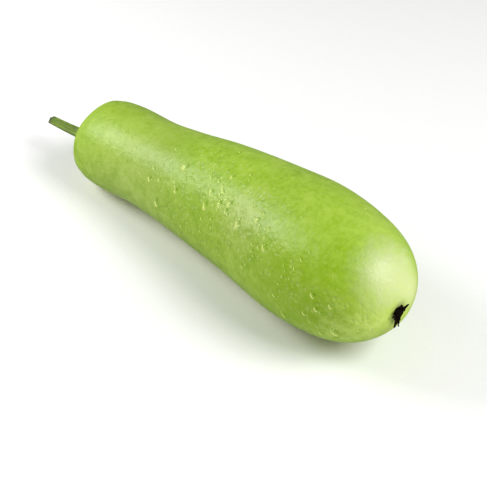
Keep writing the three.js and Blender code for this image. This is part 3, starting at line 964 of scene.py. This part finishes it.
def small_beads(rind, material):
    """Beads of water scattered over the upper skin between the drops, thicker in some patches. Each
    is a flattened dome, a little out of round, with its foot sunk in the skin."""
    sizes = {
        "Spacing": 3.2,
        "Beads per square centimetre": 2.2,
        "Smallest bead": 0.7,
        "Largest bead": 1.4,
        "Rarity of large beads": 1.8,
        "Bead height": 0.36,
        "Unevenness": 0.5,
        "Roundness": 2,
        "Patch size": 22.0,
        "Driest patch": 0.4,
        "Wettest patch": 0.6,
        "Seed": 4,
        "Water": material,
    }
    tree, size = sized_tree("Water beads", sizes)
    place = add(tree, "InputPosition")

    # They keep to the wet skin, where it doesn't face down.
    facing = add(tree, "SeparateXYZ", [add(tree, "InputNormal")])
    upper = add(tree, "MapRange", [facing.outputs["Z"], -0.7, -0.1])
    wetness = add(tree, "InputNamedAttribute", {"Name": "wetness"})
    soaked = add(tree, "MapRange", {0: wetness, 3: 0.03, 4: 1.0})
    patch_scale = add(tree, "Math DIVIDE", [1 / MM, size["Patch size"]])
    patches = add(tree, "TexNoise", {"Vector": place, "Scale": patch_scale, "Detail": 1.0})
    wetter = add(tree, "MapRange", [patches, size["Driest patch"], size["Wettest patch"], 0.3, 1.0])
    upper_wet = add(tree, "Math MULTIPLY", [upper, soaked])
    spread = add(tree, "Math MULTIPLY", [upper_wet, wetter])
    per_metre = add(tree, "Math MULTIPLY", [size["Beads per square centimetre"], 100.0**2])
    spacing = add(tree, "Math MULTIPLY", [size["Spacing"], MM])
    points = add(
        tree, "DistributePointsOnFaces",
        {
            "Mesh": size["Geometry"], "Distance Min": spacing, "Density Max": per_metre,
            "Density Factor": spread, "Seed": size["Seed"],
        },
        distribute_method="POISSON",
    )

    # Most beads are small: the chance is raised to a power before it picks a size.
    chance = add(tree, "RandomValue", {"Seed": 5})
    rarer = add(tree, "Math POWER", [chance, size["Rarity of large beads"]])
    radius = add(tree, "MapRange", {0: rarer, 3: size["Smallest bead"], 4: size["Largest bead"]})
    wide = add(tree, "Math MULTIPLY", [radius, MM])
    longer = add(tree, "RandomValue", {"Min": 0.8, "Max": 1.5, "Seed": 8})
    long = add(tree, "Math MULTIPLY", [wide, longer])
    high = add(tree, "Math MULTIPLY", [wide, size["Bead height"]])
    bead_size = add(tree, "CombineXYZ", [long, wide, high])
    any_way = add(
        tree, "RandomValue",
        {"Min": (0.0, 0.0, -math.pi), "Max": (0.0, 0.0, math.pi), "Seed": 3}, data_type="FLOAT_VECTOR",
    )
    turned = add(tree, "RotateRotation", [points.outputs["Rotation"], any_way], rotation_space="LOCAL")
    ball = add(tree, "MeshIcoSphere", {"Radius": 1.0, "Subdivisions": size["Roundness"]})
    on_ball = add(tree, "SeparateXYZ", [place]).outputs
    foot = add(tree, "Math MAXIMUM", [on_ball["Z"], -BEAD_FOOT])
    flat_foot = add(tree, "CombineXYZ", [on_ball["X"], on_ball["Y"], foot])
    bead = add(tree, "SetPosition", {"Geometry": ball, "Position": flat_foot})
    beads = add(
        tree, "InstanceOnPoints",
        {"Points": points.outputs["Points"], "Instance": bead, "Rotation": turned, "Scale": bead_size},
    )

    # Each bead's middle stays with it, and tells which side of it a spot lies on.
    with_middle = add(
        tree, "StoreNamedAttribute", {"Geometry": beads, "Name": "bead_middle", "Value": place},
        data_type="FLOAT_VECTOR", domain="INSTANCE",
    )
    whole = add(tree, "RealizeInstances", {"Geometry": with_middle})
    middle = add(tree, "InputNamedAttribute", {"Name": "bead_middle"}, data_type="FLOAT_VECTOR")
    off_middle = add(tree, "VectorMath SUBTRACT", [place, middle])

    # Ripples as broad as the largest bead push each one a little out of round.
    ripple_scale = add(tree, "Math DIVIDE", [0.45 / MM, size["Largest bead"]])
    ripples = add(tree, "TexNoise", {"Vector": place, "Scale": ripple_scale, "Detail": 0.0})
    either_way = add(tree, "Math SUBTRACT", [ripples, 0.5])
    uneven = add(tree, "Math MULTIPLY", [either_way, size["Unevenness"]])
    swelling = add(tree, "VectorMath SCALE", {0: off_middle, "Scale": uneven})
    rippled = add(tree, "SetPosition", {"Geometry": whole, "Offset": swelling})

    # Kept on the points for the material, which paints its crescent and shade by it: 1 on the side towards
    # the main light, -1 on the other.
    direction = add(tree, "VectorMath NORMALIZE", [off_middle])
    light = tuple(Vector(MAIN_LIGHT).normalized())
    side = add(tree, "VectorMath DOT_PRODUCT", [direction, light])
    sided = add(tree, "StoreNamedAttribute", {"Geometry": rippled, "Name": "towards_light", "Value": side})
    clothed(tree, sided, size["Water"])
    return grown("water_beads", tree, sizes, on=rind.data)


def drops_piece(rind, material):
    """The larger drops: flattened domes that have run a little downhill, fuller at the lower end,
    each with its foot sunk in the skin."""
    whole = bmesh.new()
    towards_light = whole.verts.layers.float.new("towards_light")
    light = Vector(MAIN_LIGHT).normalized()
    for number, (x, y, z, radius, longer, turned) in enumerate(DROPS):
        _, middle, outward, _ = rind.closest_point_on_mesh(Vector((x, y, z)) * MM)
        downhill = Vector((0, 0, -1)) + outward * outward.z
        downhill.rotate(Quaternion(outward, turned))
        downhill.normalize()
        aside = outward.cross(downhill)
        ball = bmesh.ops.create_icosphere(whole, subdivisions=4, radius=1.0)
        for vert in ball["verts"]:
            along, across, above = vert.co
            drift = Vector((along * 0.9, across * 0.9, number * 3.7))
            uneven = 1 + DROP_UNEVENNESS * noise.noise(drift)
            long_way = along * radius * longer * uneven
            wide_way = across * radius * (1 + DROP_FULLNESS * along) * uneven
            high_way = max(above, -BEAD_FOOT) * radius * DROP_HEIGHT
            off = (downhill * long_way + aside * wide_way + outward * high_way) * MM
            vert.co = middle + off
            vert[towards_light] = off.normalized().dot(light)
    return finished_piece("water_drops", whole, material)


# ---- making the gourd ----

rind = fruit_piece(rind_material())
stalk = stalk_piece(stalk_material())
flower = flower_piece(petal_material())
water = water_material()
beads = small_beads(rind, water)
drops = drops_piece(rind, water)

for piece in (rind, stalk, flower, beads, drops):
    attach(piece, "root")
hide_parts("fruit")
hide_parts("peduncle")
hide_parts("withered_flower")

# ---- floor, light and camera ----

def floor_material():
    """Matt white studio paper, with the faintest tooth."""
    material, tree = blank_material("Studio paper, matt white")
    place = add(tree, "TexCoord").outputs["Object"]
    tooth = add(tree, "TexNoise", {"Vector": place, "Scale": grain(3), "Detail": 2.0})
    tone = add(tree, "Mix", [tooth, "#F4F4F3", "#F8F8F7"], data_type="RGBA")
    surface = add(tree, "BsdfPrincipled", {"Base Color": tone, "Roughness": 0.9, "IOR": 1.3})
    add(tree, "OutputMaterial", {"Surface": surface})
    return material


floor_mesh = bpy.data.meshes.new("studio_floor")
floor_mesh.from_pydata([(-4, -4, 0), (4, -4, 0), (4, 4, 0), (-4, 4, 0)], [], [(0, 1, 2, 3)])
floor_mesh.materials.append(floor_material())
floor = in_scene("studio_floor", floor_mesh)
# The waxy skin shows the soft air all round it, and not the bright paper under it.
floor.visible_glossy = False


def softbox(name, aim, direction, distance, width, height, power):
    """A rectangular soft light that shines on aim from a direction."""
    lamp = bpy.data.lights.new(name, "AREA")
    lamp.shape = "RECTANGLE"
    lamp.size = width
    lamp.size_y = height
    lamp.energy = power
    holder = in_scene(name, lamp)
    away = Vector(direction).normalized()
    holder.location = Vector(aim) + away * distance
    holder.rotation_mode = "QUATERNION"
    holder.rotation_quaternion = (-away).to_track_quat("-Z", "Y")


softbox(
    "main_softbox", aim=(0.10, 0.0, 0.05), direction=MAIN_LIGHT, distance=1.4,
    width=0.8, height=0.8, power=20.0,
)
softbox(
    "side_softbox", aim=(-0.02, -0.02, 0.06), direction=(-0.51, -0.31, 0.40), distance=0.72,
    width=0.38, height=0.34, power=3.9,
)

world = bpy.data.worlds.new("studio_air")
world.use_nodes = True
scene.world = world
air = world.node_tree
air.nodes.clear()
glow = add(air, "Background", {"Color": "#FFFFFF", "Strength": 0.26})
add(air, "OutputWorld", {"Surface": glow})

view = scene.view_settings
view.view_transform = "Standard"
view.look = "None"

lens = bpy.data.cameras.new("camera")
lens.sensor_width = 36
lens.lens = 130.517
lens.clip_start = 0.05
lens.clip_end = 20
camera = in_scene("camera", lens)
# The directions of its right, its top and its back, and where it stands.
right = Vector((0.66913061, 0.74314483, 0.0))
up = Vector((-0.45352898, 0.40835933, 0.79218314))
back = Vector((0.5887068, -0.53007399, 0.61028344))
turned = Matrix((right, up, back)).transposed().to_4x4()
stood = Matrix.Translation((0.738092, -0.644991, 0.757606))
camera.matrix_world = stood @ turned
scene.camera = camera
